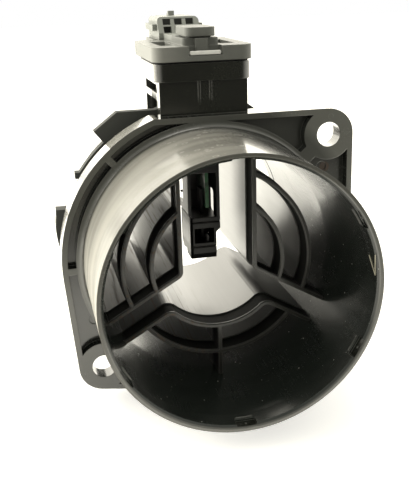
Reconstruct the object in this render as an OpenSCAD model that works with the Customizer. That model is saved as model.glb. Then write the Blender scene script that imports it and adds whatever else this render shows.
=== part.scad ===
// Hot-film air meter for a large engine: a moulded duct with a flanged inlet
// spigot, a three-armed flow guide and a plug-in sensor module in a top tower.
// Origin: centre of the inlet rim, duct axis along +Y, tower up +Z.

/* [Duct] */
// Bore of the duct at the inlet rim
duct_bore_d = 82; // [78:0.5:84]
// Wall of the duct
duct_wall = 2; // [1.6:0.1:3]
// Length of the inlet spigot, from its rim to the flange face
spigot_len = 42.5; // [36:0.5:46]
// Length of the outlet spigot behind the rear collar
outlet_len = 38; // [36:0.5:60]
// Radius of the flare where the spigot meets the flange
root_flare = 2.3; // [1:0.1:3]
// Width of the chamfer inside the inlet rim
rim_chamfer = 1; // [0.4:0.1:1.4]
// Height of the ring that stops the hose behind the tower
stop_height = 1.6; // [1:0.1:2.4]
// Width of the hose stop along the duct
stop_w = 2.4; // [1.6:0.1:4]
// Extra thickness of the duct wall in front of the hose stop
stop_step = 0.5; // [0.3:0.1:0.9]
// Width of the lead-in chamfer round the outlet's rim
outlet_chamfer = 1; // [0.4:0.1:1.4]
// Number of screen catches moulded inside the inlet rim
catch_count = 6; // [4:1:8]
// Width of a screen catch
catch_w = 6.4; // [4:0.2:8]
// Depth of a screen catch along the duct
catch_len = 3.4; // [2:0.2:5]
// Depth of a screen catch into the wall
catch_depth = 0.7; // [0.4:0.1:1]

/* [Flange] */
// Depth of the flange skirt along the duct
flange_depth = 9.8; // [8:0.2:12]
// Diameter of the round middle of the flange
flange_d = 100; // [98:0.5:104]
// Height of the flat on top of the flange
flange_flat = 46.8; // [46:0.2:48]
// Width of the rim round the flange pockets
flange_rim = 1.9; // [1.6:0.1:3]
// Thickness of the bolt bosses
boss_t = 6.2; // [5:0.1:7.4]
// Depth of the front pockets
pocket_depth = 3.5; // [2:0.1:4]
// Distance between the two bolt holes
bolt_span = 109.3; // [107:0.1:111]
// Angle of the line through the bolt holes
bolt_angle = 43; // [40:0.5:46]
// Sideways shift of the bolt pattern from the duct axis
bolt_shift_x = 1.35; // [0:0.05:1.5]
// Upward shift of the bolt pattern from the duct axis
bolt_shift_z = 0.85; // [0:0.05:1.2]
// Diameter of the bolt holes
bolt_hole_d = 8.2; // [6.4:0.1:9]
// Diameter of the bolt bosses
boss_d = 17.2; // [16:0.1:18]
// Width of the ribs across the flange pockets
flange_rib_w = 2.2; // [1.6:0.1:3]
// Width of the bridges from the bolt bosses to the duct
boss_bridge_w = 4.8; // [3:0.1:6]

/* [Rear collar] */
// Gap between the flange skirt and the collar
collar_gap = 5.2; // [3:0.2:7]
// Thickness of the collar
collar_t = 4; // [3:0.2:5]
// Diameter of the collar
collar_d = 99.6; // [98:0.2:102]
// Height of the collar's saddle under the tower
saddle_top = 47.6; // [46:0.2:49]
// Height of the top of the pad on the side of the collar
pad_height = 16; // [12:0.5:20]
// How far the pad stands out from the duct axis
pad_reach = 50.4; // [50:0.1:52]
// Thickness of the pad along the duct
pad_t = 6; // [4:0.2:8]

/* [Tower] */
// Width of the tower
tower_w = 29.2; // [28:0.2:31]
// Distance from the flange face back to the front of the tower
tower_setback = 4.5; // [3:0.1:6]
// Depth of the tower along the duct
tower_depth = 30.7; // [29:0.1:33]
// Height of the tower's shoulder above the duct axis
tower_shoulder = 57.7; // [56:0.1:60]
// Height of the socket rim on the tower
socket_h = 5.6; // [4:0.1:7]
// How far the socket rim stands out from the tower
socket_lip = 1.4; // [0.8:0.1:2]
// Corner radius of the socket rim
socket_r = 4; // [2:0.5:5]
// Width of the well that takes the sensor module
well_w = 13.6; // [12.8:0.1:14]
// Depth of the well, along the duct
well_len = 25; // [23:0.2:26]
// Height of the floor of the well above the duct axis
well_floor = 45; // [44:0.2:47]
// Depth of the coring pockets in the sides of the tower
coring_depth = 5; // [2:0.2:5.2]
// Thickness of the tower's corner columns
column_t = 4; // [3:0.1:5]
// Height of the rib across the coring pockets
coring_rib = 2.2; // [1.4:0.1:3]
// Distance between the two ribs on the front of the tower
front_rib_gap = 3.8; // [3:0.2:6]

/* [Flow guide] */
// Distance from the inlet rim back to the guide's leading edges
guide_start = 32.6; // [30:0.2:34]
// Length of the thin leading part of the guide's walls
nose_len = 7.4; // [6:0.2:12]
// Length of the guide
guide_len = 59.4; // [54:0.2:60]
// Wall of the guide at its leading edges
nose_t = 1.4; // [1:0.1:1.8]
// Wall of the guide behind its leading part
vane_t = 2.2; // [1.9:0.1:2.6]
// Radius of the inner ring of the guide
inner_ring_r = 22.05; // [20:0.05:24]
// Radius of the outer ring of the guide
outer_ring_r = 31.4; // [29:0.1:33]
// Half of the width of the channel that holds the sensor
sensor_channel = 12.5; // [11:0.1:13.5]
// Half of the width of the two lower channels
lower_channel = 4.4; // [3.5:0.05:5.5]
// How far below the duct axis the lower channels meet
hub_drop = 0.7; // [0:0.05:1]
// Angle of the lower channels below the horizontal
lower_angle = 30; // [27:0.5:33]
// Corner radius where a channel's walls meet
vane_corner = 2; // [1.4:0.1:3]
// Corner radius of the bottom sector
sector_corner = 3.2; // [1.6:0.1:4]
// Wall of the sleeve that carries the guide
sleeve_t = 1.1; // [0.8:0.1:1.4]
// Distance from the leading edges back to the sleeve
sleeve_setback = 6.6; // [5:0.2:8]

/* [Sensor module] */
// Height of the seal gap under the module's plate
seal_gap = 0.6; // [0.3:0.1:0.8]
// Thickness of the plate
plate_t = 4.6; // [4.2:0.1:6]
// How far the plate stands out past the tower on each side
plate_lip = 1.8; // [1:0.1:2.4]
// Length of the plate along the duct
plate_len = 42; // [40:0.2:46]
// Corner radius of the plate
plate_r = 4; // [2:0.5:5]
// Width of the screw pockets in the plate
pocket_w = 5; // [4.8:0.1:5.2]
// Length of the screw pockets
pocket_len = 20; // [16:0.5:22]
// Floor under the screw pockets
pocket_floor = 1.6; // [1.2:0.1:2.4]
// Width of the notch in the front of the plate
notch_w = 10.8; // [8:0.2:12]
// Sideways shift of the notch from the middle of the plate
notch_shift = 0.6; // [0:0.1:1]
// Distance from the duct axis plane out to each screw
screw_x = 9.9; // [9.8:0.05:10]
// Diameter of the screws
screw_d = 3.2; // [2.9:0.1:3.4]
// Diameter of the screw heads
screw_head_d = 4.6; // [4.2:0.1:4.7]
// Length of the screws under their heads
screw_len = 13; // [10:0.5:16]

/* [Finger] */
// Distance from the tower's front back to the finger's front
finger_setback = 5; // [4:0.1:6]
// Width of the finger
finger_w = 11.2; // [10.8:0.1:11.6]
// Width of the finger's tip, where the bypass runs
tip_w = 8.3; // [7.8:0.1:8.8]
// How far the tip's left side stands out behind its front edge
tip_step = 0.7; // [0.3:0.1:0.9]
// Chord of the finger along the duct
finger_len = 16.2; // [16:0.1:18]
// How far the tip reaches below the duct axis
tip_reach = 4.6; // [4:0.1:6]
// Height of the ledge over the bypass, where the finger gets wider
ledge_top = 10.4; // [10:0.1:11]
// Height of the top of the bypass inlet
inlet_top = 6.4; // [5.8:0.1:6.6]
// Height of the bypass inlet
inlet_h = 5.2; // [4.8:0.1:5.4]
// Width of the bypass inlet
inlet_w = 5.4; // [4.6:0.1:5.6]
// Top of the open chamber with the temperature bead
chamber_top = 26; // [24:0.2:28]
// Wall of the finger
finger_wall = 1.1; // [0.9:0.1:1.3]
// Thickness of the circuit board
board_t = 1.2; // [1:0.1:1.6]
// Width of the circuit board along the duct
board_w = 13; // [12:0.1:13.2]
// Thickness of the chip carrier
carrier_t = 1; // [0.8:0.1:1.2]
// Diameter of the temperature bead
bead_d = 1; // [0.8:0.1:1.4]
// Diameter of the bead's leads
lead_d = 0.3; // [0.2:0.05:0.4]

/* [Connector] */
// Width of the connector shroud
shroud_w = 15.2; // [14.6:0.2:17]
// Height of the connector shroud
shroud_h = 12.4; // [11.6:0.2:13]
// Length of the connector shroud behind the plate
shroud_len = 18; // [16:0.5:22]
// Wall of the connector shroud
shroud_wall = 1.4; // [1.1:0.1:1.7]
// Number of terminal pins
pin_count = 5; // [3:1:5]
// Distance between terminal pins
pin_pitch = 2.54; // [2.2:0.02:2.6]
// Side of a terminal pin
pin_side = 0.64; // [0.5:0.02:0.8]
// Width of the raised tier in front of the connector
tier_w = 12; // [11:0.2:12.6]
// Height of the raised tier
tier_h = 2.3; // [1.4:0.1:2.6]
// Width of the contact cap on the tier
cap_w = 10; // [8.6:0.2:10.6]
// Length of the contact cap
cap_len = 19; // [16:0.5:20]
// Height of the contact cap
cap_h = 2.8; // [2:0.1:4]

/* [Hidden] */
$fn = 96;
// Small overlap that lets one cut pass cleanly through a face
over = 0.5;
// Running clearance between pieces that slide together
slide = 0.15;
// Clearance of a part that lies in a pocket
nest = 0.05;
far = 200;

bore_r = duct_bore_d / 2;
spigot_r = bore_r + duct_wall;
root_r = spigot_r + root_flare;
flange_back = spigot_len + flange_depth;
collar_front = flange_back + collar_gap;
collar_back = collar_front + collar_t;
pad_back = collar_front + pad_t;
duct_len = collar_back + outlet_len;
lobe_r = boss_d / 2;
flange_r = flange_d / 2;
bolt_mid = [bolt_shift_x, bolt_shift_z];
bolt_arm = bolt_span / 2 * [cos(bolt_angle), sin(bolt_angle)];
bolts = [bolt_mid + bolt_arm, bolt_mid - bolt_arm];
// Angles of the ribs across the flange pockets, with their opposites
rib_angles = [133, 181.5, 313, 1.5];

tower_front = spigot_len + tower_setback;
tower_back = tower_front + tower_depth;
socket_front = tower_front - socket_lip;
socket_top = tower_shoulder + socket_h;
socket_w = tower_w + 2 * socket_lip;
finger_front = tower_front + finger_setback;
finger_back = finger_front + finger_len;
well_front = finger_front - (well_len - finger_len) / 2;
well_mid = well_front + well_len / 2;
// Where the ring that stops the hose begins and ends
stop_front = tower_back - over;
stop_back = stop_front + stop_w;
well_r = 3;
// Room round the finger in the slot through the duct wall
slot_room = 0.5;
slot_w = finger_w + 2 * slot_room;
slot_len = finger_len + 2 * slot_room;

sleeve_front = guide_start + sleeve_setback;
guide_back = guide_start + guide_len;
nose_back = guide_start + nose_len;
sleeve_r = bore_r - sleeve_t;
// Steps in the arcs of the guide's corners
arc_steps = 6;

plate_bottom = socket_top + seal_gap;
plate_top = plate_bottom + plate_t;
plate_front = tower_front - plate_lip;
plate_back = plate_front + plate_len;
plate_w = tower_w + 2 * plate_lip;
// Distance from the plate's front to its screw pockets
pocket_setback = 9;
pocket_front = plate_front + pocket_setback;
notch_depth = 4;
notch_h = 2.9;
screw_y = well_mid;
collar_w = well_w - 2 * slide;
collar_len = well_len - 2 * slide;
collar_r = well_r - slide;
// Gap between the plug and the floor of the well
plug_gap = 2;
module_floor = well_floor + plug_gap;
// Distance from the tower's shoulder down to the seal's groove
groove_drop = 1;
groove_z = tower_shoulder - groove_drop;
groove_h = 2.4;
groove_depth = 1.4;
seal_squeeze = 0.1;

board_x = 0.9;
board_front = finger_front + (finger_len - board_w) / 2;
board_back = board_front + board_w;
// Height of the board's foot above the ledge over the bypass
board_gap = 2.9;
board_bottom = ledge_top + board_gap;
board_top = 58;
// Floor of the board's bay above the open chamber
bay_wall = 2;
bay_bottom = chamber_top + bay_wall;
bay_top = board_top + nest;
// How far the board's bay reaches left of the duct axis plane
bay_reach = 1.4;
// Width of the ledge that carries the board's cover
cover_rim = 0.6;
carrier_x = board_x - carrier_t;
// Distance from the finger's front to the chip carrier
carrier_setback = 5;
carrier_front = finger_front + carrier_setback;
carrier_w = 5;
// Height of the carrier's foot above the floor of the bypass
carrier_gap = 0.6;
carrier_bottom = inlet_top - inlet_h + carrier_gap;
// Length of the carrier's joint with the board
carrier_lap = 6;
carrier_top = board_bottom + carrier_lap;
// Height of the sensing chip above the carrier's foot
chip_rise = 1;
chip_side = 2.4;
chip_t = 0.4;
cover_t = 1;

inlet_bottom = inlet_top - inlet_h;
// How far the inlet's left side lies inside the tip's left wall
inlet_inset = 1;
inlet_left = -tip_w / 2 + finger_wall + inlet_inset;
// Lip left of the inlet's funnel
funnel_lip = 0.6;
funnel_left = -tip_w / 2 + funnel_lip;
// Depth and last part of the inlet's funnel
funnel_len = 2.4;
funnel_end = 0.8;
// Wall behind the bypass
channel_wall = 3;
channel_back = finger_back - channel_wall;
// Side of the bypass outlet and its height above the bypass floor
outlet_hole = 4.4;
outlet_rise = 0.4;
// Where the bypass cover lies: behind the tip's front, before its back, past the channel
bypass_cover_front = 1.9;
bypass_cover_back = 1.2;
bypass_cover_lap = 1.2;

// Where the temperature bead hangs: out from the axis plane, back from the front, up
bead_out = 5.2;
bead_back = 12.2;
bead_z = 17.4;
bead_pos = [-bead_out, finger_front + bead_back, bead_z];
lead_gap = 0.5;

// How far the connector laps over the plate
shroud_lap = 4;
shroud_front = plate_back - shroud_lap;
shroud_back = plate_back + shroud_len;
shroud_bottom = plate_bottom;
shroud_top = shroud_bottom + shroud_h;
pin_z = shroud_bottom + shroud_h / 2;
// How far the pins' run lies under the middle of the plate's thickness
pin_drop = 0.4;
pin_run_z = plate_bottom + plate_t / 2 - pin_drop;
// Distance from the connector's mouth back to the pins' tips
pin_setback = 5;
pin_tip = shroud_back - pin_setback;
pin_side_x = board_x + board_t;
// Where each terminal pin turns down to the board, in steps from the front
pin_turns = [0, 1, 3, 4, 2];
pin_turn_start = 1.5;
// How far in front of the plate's back the pins step down
pin_step = 1;
pin_turn_step = 2.4;
pin_foot = 3;

// Distances from the plate's front to the cap and to the tier
cap_setback = 3.6;
tier_setback = 4.6;
cap_front = plate_front + cap_setback;
tier_front = plate_front + tier_setback;
tier_r = 1.6;
tier_top = plate_top + tier_h;
neck_h = 0.5;
cap_bottom = tier_top + neck_h;

// Turns a profile drawn in width and height into a slab from y0 to y1
module slab(y0, y1) {
    translate([0, y1, 0])
        rotate([90, 0, 0])
            linear_extrude(y1 - y0)
                children();
}

// Turns a profile drawn in radius and distance along the duct about its axis
module around_duct() {
    rotate([-90, 0, 0])
        rotate_extrude()
            children();
}

// Turns a profile drawn in distance along the duct and height into a slab from x0 to x1
module side_slab(x0, x1) {
    translate([x0, 0, 0])
        rotate([90, 0, 90])
            linear_extrude(x1 - x0)
                children();
}

// Block between two opposite corners
module block(low, high) {
    translate(low)
        cube(high - low);
}

// Rectangle from two opposite corners with round corners
module round_rect(low, high, r) {
    translate(low + [r, 0])
        square([high.x - low.x - 2 * r, high.y - low.y]);
    translate(low + [0, r])
        square([high.x - low.x, high.y - low.y - 2 * r]);
    for (x = [low.x + r, high.x - r], y = [low.y + r, high.y - r])
        translate([x, y])
            circle(r);
}

// Everything on the far side of a line at distance d from the axis, in direction a
module half_plane(a, d) {
    rotate(a)
        translate([d, -far])
            square([far, 2 * far]);
}

// Web between the round middle and a lobe, along their common tangents
module tangent_web(big_r, centre, small_r) {
    span = norm(centre);
    heading = atan2(centre.y, centre.x);
    turn = acos((big_r - small_r) / span);
    up = [cos(heading + turn), sin(heading + turn)];
    down = [cos(heading - turn), sin(heading - turn)];
    polygon([big_r * up, centre + small_r * up, centre + small_r * down, big_r * down]);
}

// Outline of the flange, drawn in by an even margin
module flange_outline(margin) {
    difference() {
        union() {
            circle(flange_r - margin);
            for (b = bolts) {
                tangent_web(flange_r - margin, b, lobe_r - margin);
                translate(b)
                    circle(lobe_r - margin);
            }
        }
        half_plane(90, flange_flat - margin);
    }
}

// Hollows of the flange between its rim, its bosses and the duct's root
module flange_hollows() {
    difference() {
        flange_outline(flange_rim);
        circle(root_r);
        for (b = bolts)
            translate(b)
                circle(lobe_r);
        for (a = rib_angles)
            rotate(a)
                translate([0, -flange_rib_w / 2])
                    square([flange_r, flange_rib_w]);
        for (side = [0, 180])
            rotate(bolt_angle + side)
                translate([0, -boss_bridge_w / 2])
                    square([flange_r, boss_bridge_w]);
    }
}

module flange() {
    mark_d = 3.4;
    mark_depth = 0.3;
    marks = [[40.2, 26.6], [-40.7, -20.2]];
    difference() {
        slab(spigot_len, flange_back)
            flange_outline(0);
        slab(spigot_len - over, spigot_len + pocket_depth)
            flange_hollows();
        slab(spigot_len + boss_t, flange_back + over)
            difference() {
                flange_outline(flange_rim);
                circle(root_r);
            }
        for (b = bolts)
            translate([b.x, flange_back + over, b.y])
                rotate([90, 0, 0])
                    cylinder(d = bolt_hole_d, h = flange_depth + 2 * over);
        for (m = marks)
            translate([m.x, spigot_len + pocket_depth + mark_depth, m.y])
                rotate([90, 0, 0])
                    cylinder(d = mark_d, h = pocket_depth);
    }
}

// Outer skin of the duct: inlet spigot, flare into the flange, hose stop, outlet spigot
module duct_skin() {
    steps = 8;
    around_duct()
        polygon(concat(
            [[0, 0], [spigot_r, 0], [spigot_r, spigot_len - root_flare]],
            [for (i = [1 : steps])
                let (a = 90 * i / steps)
                [root_r - root_flare * cos(a), spigot_len - root_flare + root_flare * sin(a)]],
            [[root_r, flange_back], [root_r, collar_back],
             [spigot_r + stop_step, collar_back + root_flare],
             [spigot_r + stop_step, stop_front],
             [spigot_r + stop_height, stop_front],
             [spigot_r + stop_height, stop_back - stop_height / 2],
             [spigot_r, stop_back],
             [spigot_r, duct_len - outlet_chamfer],
             [spigot_r - outlet_chamfer, duct_len],
             [0, duct_len]]
        ));
}

// Bore with its rim chamfer and the seat of the guide's sleeve
module duct_bore() {
    around_duct()
        polygon([
            [0, -over], [bore_r + rim_chamfer + over, -over], [bore_r, rim_chamfer],
            [bore_r, guide_back], [sleeve_r, guide_back + sleeve_t],
            [sleeve_r, duct_len + over], [0, duct_len + over]
        ]);
    for (i = [0 : catch_count - 1])
        rotate([0, i * 360 / catch_count, 0])
            block(
                [-catch_w / 2, rim_chamfer / 2, -bore_r - catch_depth],
                [catch_w / 2, rim_chamfer / 2 + catch_len, catch_depth - bore_r]
            );
}

// Rear collar with the saddle under the tower, the pad and the lug on its left side
module collar() {
    collar_r = collar_d / 2;
    saddle_left = -27.4;
    saddle_right = 18;
    slope_run = 8;
    slope_drop = 6;
    step_in = 2.2;
    step_drop = 2.8;
    pad_r = 27;
    pad_mid = 8.8;
    pad_side = 0.5;
    lug_reach = 42.6;
    lug_low = 26.2;
    lug_h = 2.1;
    side_in = 1.2;
    slab(collar_front, collar_back) {
        circle(collar_r - side_in);
        intersection() {
            circle(collar_r);
            half_plane(90, lug_low);
        }
        polygon([
            [saddle_left, saddle_top],
            [saddle_right, saddle_top],
            [saddle_right + slope_run, saddle_top - slope_drop],
            [0, 0],
            [saddle_left - slope_run + step_in, saddle_top - slope_drop - step_drop],
            [saddle_left - slope_run, saddle_top - slope_drop]
        ]);
        translate([-lug_reach, lug_low])
            square([lug_reach, lug_h]);
    }
    slab(collar_front, pad_back)
        difference() {
            union() {
                translate([pad_r - pad_reach, pad_mid])
                    circle(pad_r);
                translate([pad_side - pad_reach, pad_mid])
                    square([pad_reach, pad_height - pad_mid]);
            }
            circle(spigot_r - duct_wall / 2);
            translate([-pad_reach - over, pad_height])
                square(far);
            translate([-far / 2, -far])
                square([far, far]);
            translate([0, -far / 2])
                square(far);
        }
}

// Pockets cored into one side of the tower, with a column left round the screw
module tower_coring() {
    front = tower_front + column_t;
    back = tower_back - column_t;
    floor_t = 1.6;
    roof_t = 1.2;
    rib_drop = 5;
    post = 3.4;
    low = well_floor - floor_t;
    top = tower_shoulder - roof_t;
    rib_low = top - rib_drop;
    difference() {
        block([tower_w / 2 - coring_depth, front, low], [tower_w / 2 + over, back, top]);
        block(
            [tower_w / 2 - coring_depth - over, front - over, rib_low],
            [tower_w / 2 + 2 * over, back + over, rib_low + coring_rib]
        );
        translate([screw_x, screw_y, low - over])
            cylinder(r = post, h = top - low + 2 * over);
    }
}

module tower() {
    rib_w = 0.8;
    rib_out = 0.6;
    rib_shift = 0.3;
    rib_len = 7.5;
    difference() {
        union() {
            block([-tower_w / 2, tower_front, 0], [tower_w / 2, tower_back, tower_shoulder]);
            translate([0, 0, tower_shoulder])
                linear_extrude(socket_h)
                    round_rect(
                        [-socket_w / 2, socket_front],
                        [socket_w / 2, tower_back + socket_lip],
                        socket_r
                    );
            for (side = [-1, 1])
                side_slab(
                    rib_shift + side * front_rib_gap / 2 - rib_w / 2,
                    rib_shift + side * front_rib_gap / 2 + rib_w / 2
                )
                    polygon([
                        [tower_front, tower_shoulder],
                        [tower_front - rib_out, tower_shoulder],
                        [tower_front, tower_shoulder - rib_len]
                    ]);
        }
        tower_coring();
        mirror([1, 0, 0])
            tower_coring();
    }
}

// Well for the module's plug, with a slot for its finger and a hole for each screw
module module_well() {
    slot_front = finger_front - (slot_len - finger_len) / 2;
    translate([0, 0, well_floor])
        linear_extrude(socket_top - well_floor + over)
            round_rect(
                [-well_w / 2, well_front],
                [well_w / 2, well_front + well_len],
                well_r
            );
    block(
        [-slot_w / 2, slot_front, 0],
        [slot_w / 2, slot_front + slot_len, well_floor + over]
    );
    for (side = [-1, 1])
        translate([side * screw_x, screw_y, plate_bottom + pocket_floor - screw_len])
            cylinder(d = screw_d, h = screw_len);
}

module tube_housing() {
    color([0.12, 0.12, 0.12])
        difference() {
            union() {
                duct_skin();
                flange();
                collar();
                tower();
            }
            duct_bore();
            module_well();
        }
}

// Points on an arc about a middle, with the last angle included
function arc_points(mid, r, first, last) =
    [for (i = [0 : arc_steps]) mid + r * direction(first + (last - first) * i / arc_steps)];

function direction(a) = [cos(a), sin(a)];

// Region of a side sector: beyond the sensor channel and above a lower channel
module side_sector(grow) {
    normal = 90 - lower_angle;
    x0 = sensor_channel - grow;
    c0 = lower_channel - hub_drop * sin(normal) - grow;
    r = vane_corner + grow;
    corner_z = (c0 + r - (x0 + r) * cos(normal)) / sin(normal);
    corner = arc_points([x0 + r, corner_z], r, 180, 180 + normal);
    polygon(concat(
        [[x0, far]],
        corner,
        [corner[arc_steps] + far * direction(-lower_angle), [far, far]]
    ));
}

// Region of the bottom sector: under both lower channels and outside the inner ring
module bottom_sector(grow) {
    normal = 90 - lower_angle;
    c0 = lower_channel + hub_drop * sin(normal) - grow;
    r = sector_corner + grow;
    // How far the corner arc stops before it touches the ring, and how deep its end lies in it
    short = 13;
    sunk = 0.3;
    // Middle of the corner arc, which touches the channel line and the inner ring
    deep = c0 + r;
    reach = inner_ring_r - grow + r;
    along = sqrt(reach * reach - deep * deep);
    mid = along * direction(-lower_angle) - deep * direction(normal);
    meeting = atan2(mid.y, mid.x) + 180;
    corner = arc_points(mid, r, normal, meeting - short);
    inside = mid * (inner_ring_r - grow - sunk) / reach;
    edge = concat([corner[0] + far * direction(-lower_angle)], corner, [inside]);
    difference() {
        polygon(concat(
            edge,
            [for (i = [len(edge) - 1 : -1 : 0]) [-edge[i].x, edge[i].y]],
            [[0, -far - mid.x]]
        ));
        circle(inner_ring_r - grow);
    }
}

module ring(r, t) {
    difference() {
        circle(r + t / 2);
        circle(r - t / 2);
    }
}

// Section of all walls of the guide, as thick as t
module vanes(t) {
    intersection() {
        circle(bore_r - slide);
        union() {
            for (side = [0, 1])
                mirror([side, 0])
                    union() {
                        difference() {
                            side_sector(t / 2);
                            side_sector(-t / 2);
                        }
                        intersection() {
                            side_sector(0);
                            union() {
                                ring(inner_ring_r, t);
                                ring(outer_ring_r, t);
                            }
                        }
                    }
            difference() {
                bottom_sector(t / 2);
                bottom_sector(-t / 2);
            }
            intersection() {
                bottom_sector(0);
                union() {
                    ring(outer_ring_r, t);
                    translate([-t / 2, -far])
                        square([t, far]);
                }
            }
        }
    }
}

module flow_guide() {
    edge_len = 0.5;
    color([0.1, 0.1, 0.1])
        difference() {
            union() {
                slab(guide_start, guide_start + edge_len)
                    vanes(nose_t - edge_len);
                slab(guide_start + edge_len, nose_back)
                    vanes(nose_t);
                slab(nose_back, guide_back)
                    vanes(vane_t);
                slab(sleeve_front, guide_back)
                    difference() {
                        circle(bore_r);
                        circle(sleeve_r);
                    }
            }
            module_well();
        }
}

module plate() {
    foot_rim = 1.5;
    ledge_half = 2;
    ledge_lap = 1.4;
    difference() {
        translate([0, 0, plate_bottom])
            linear_extrude(plate_t)
                round_rect([-plate_w / 2, plate_front], [plate_w / 2, plate_back], plate_r);
        for (side = [-1, 1]) {
            block(
                [side * screw_x - pocket_w / 2, pocket_front, plate_bottom + pocket_floor],
                [side * screw_x + pocket_w / 2, pocket_front + pocket_len, plate_top + over]
            );
            translate([side * screw_x, screw_y, plate_bottom - over])
                cylinder(d = screw_d + 2 * slide, h = plate_t);
        }
        block(
            [notch_shift - notch_w / 2, plate_front - over, plate_top - notch_h],
            [notch_shift + notch_w / 2, plate_front + notch_depth, plate_top + over]
        );
    }
    // Feet that carry the plate on the socket rim beside the screws
    for (side = [-1, 1])
        difference() {
            translate([side * screw_x, screw_y, socket_top])
                cylinder(d = screw_d + 2 * foot_rim, h = seal_gap);
            translate([side * screw_x, screw_y, socket_top - over])
                cylinder(d = screw_d + 2 * slide, h = seal_gap + 2 * over);
        }
    translate([0, 0, plate_top])
        linear_extrude(tier_h)
            round_rect([-tier_w / 2, tier_front], [tier_w / 2, plate_back], tier_r);
    block(
        [-ledge_half, plate_front + notch_depth - ledge_lap, plate_top - notch_h],
        [ledge_half, tier_front, tier_top]
    );
}

// Plug that fills the tower's well, with the groove of the seal round it
module plug() {
    difference() {
        translate([0, 0, module_floor])
            linear_extrude(plate_bottom - module_floor)
                round_rect(
                    [-collar_w / 2, well_front + slide],
                    [collar_w / 2, well_front + slide + collar_len],
                    collar_r
                );
        translate([0, 0, groove_z])
            linear_extrude(groove_h)
                difference() {
                    round_rect(
                        [-well_w, well_front - well_r],
                        [well_w, well_front + well_len + well_r],
                        well_r
                    );
                    seal_plan(groove_depth);
                }
    }
}

// Plan of the plug drawn in by a margin
module seal_plan(margin) {
    round_rect(
        [-collar_w / 2 + margin, well_front + slide + margin],
        [collar_w / 2 - margin, well_front + slide + collar_len - margin],
        collar_r - margin
    );
}

// Side view of the tip, with the step in its underside and its trailing corner
module tip_side() {
    nose_rise = 2;
    nose_run = 0.8;
    chin_len = 7.6;
    chin_rise = 0.4;
    notch_rise = 1.9;
    notch_run = 0.8;
    belly_rise = 1.1;
    heel_rise = 2;
    heel_run = 3;
    notch_y = finger_front + chin_len;
    polygon([
        [finger_front, ledge_top],
        [finger_front, nose_rise - tip_reach],
        [finger_front + nose_run, -tip_reach],
        [notch_y, chin_rise - tip_reach],
        [notch_y + notch_run, notch_rise - tip_reach],
        [finger_back - heel_run, belly_rise - tip_reach],
        [finger_back, belly_rise + heel_rise - tip_reach],
        [finger_back, ledge_top]
    ]);
}

module finger() {
    chamfer = 1.4;
    shoulder_drop = 5.6;
    difference() {
        union() {
            slab(finger_front, finger_back)
                polygon([
                    [-finger_w / 2, module_floor + over],
                    [-finger_w / 2, ledge_top + chamfer],
                    [-tip_w / 2, ledge_top],
                    [tip_w / 2, ledge_top - shoulder_drop],
                    [finger_w / 2, ledge_top - shoulder_drop + chamfer],
                    [finger_w / 2, module_floor + over]
                ]);
            side_slab(-tip_w / 2, tip_w / 2)
                tip_side();
            intersection() {
                side_slab(-tip_w / 2 - tip_step, 0)
                    tip_side();
                translate([0, 0, -far])
                    linear_extrude(2 * far)
                        polygon([
                            [-tip_w / 2, finger_front],
                            [-tip_w / 2 - tip_step, finger_front + 2 * tip_step],
                            [-tip_w / 2 - tip_step, finger_back],
                            [0, finger_back],
                            [0, finger_front]
                        ]);
            }
        }
        temperature_chamber();
        board_bay();
        bypass();
        ridge_lines();
    }
}

// Grooves across the finger's front, over and under the bypass inlet
module ridge_lines() {
    line = 0.5;
    low_line = -0.4;
    for (z = [(ledge_top + inlet_top) / 2, low_line])
        block([-finger_w, finger_front - over, z], [finger_w, finger_front + line, z + line]);
}

// Open chamber round the lower end of the board, with a slot in each side wall
module temperature_chamber() {
    wall_x = finger_w / 2 - finger_wall;
    rear = finger_back - finger_wall;
    slot_r = 1.5;
    slot_roof = 2;
    left_slot = [7.6, 3.6];
    rear_slot = [1.6, 3];
    right_slot = [[5, -0.8], [13.3, -7.2]];
    block([-wall_x, finger_front - over, ledge_top], [wall_x, rear, chamber_top]);
    block(
        [-wall_x, rear - over, ledge_top + rear_slot.y],
        [rear_slot.x - wall_x, finger_back + over, chamber_top - slot_roof]
    );
    side_slab(-finger_w, -wall_x + nest)
        round_rect(
            [finger_back - left_slot.x, ledge_top + left_slot.y],
            [finger_back + 2 * slot_r, chamber_top - slot_roof],
            slot_r
        );
    side_slab(wall_x - nest, finger_w)
        round_rect(
            [finger_front, ledge_top] + right_slot[0],
            [finger_front, chamber_top] + right_slot[1],
            slot_r
        );
}

// Bay for the board, open on the right side for its cover
module board_bay() {
    block(
        [-bay_reach, board_front - nest, bay_bottom],
        [finger_w / 2 - cover_t, board_back + nest, bay_top + over]
    );
    block(
        [finger_w / 2 - cover_t, board_front - cover_rim, bay_bottom - cover_rim],
        [finger_w / 2 + over, board_back + cover_rim, module_floor]
    );
    block(
        [board_x - nest, board_front - nest, board_bottom - nest],
        [board_x + board_t + nest, board_back + nest, bay_bottom + over]
    );
    block(
        [carrier_x - nest, carrier_front - nest, carrier_bottom],
        [board_x + nest, carrier_front + carrier_w + nest, bay_bottom + over]
    );
}

// Bypass: in through the funnel at the front, past the chip, out through the right wall
module bypass() {
    left = -tip_w / 2 - tip_step;
    right = inlet_left + inlet_w;
    throat = finger_front + funnel_len;
    block([left + cover_t - over, throat, inlet_bottom], [right, channel_back, inlet_top]);
    translate([0, 0, inlet_bottom])
        linear_extrude(inlet_h)
            polygon([
                [funnel_left, finger_front - over],
                [funnel_left, finger_front],
                [inlet_left, throat - funnel_end],
                [inlet_left, throat + over],
                [right, throat + over],
                [right, finger_front - over]
            ]);
    block(
        [left - over, finger_front + bypass_cover_front, inlet_bottom - bypass_cover_lap],
        [left + cover_t, finger_back - bypass_cover_back, inlet_top + bypass_cover_lap]
    );
    block(
        [0, channel_back - outlet_hole, inlet_bottom + outlet_rise],
        [finger_w, channel_back, inlet_bottom + outlet_rise + outlet_hole]
    );
}

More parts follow.
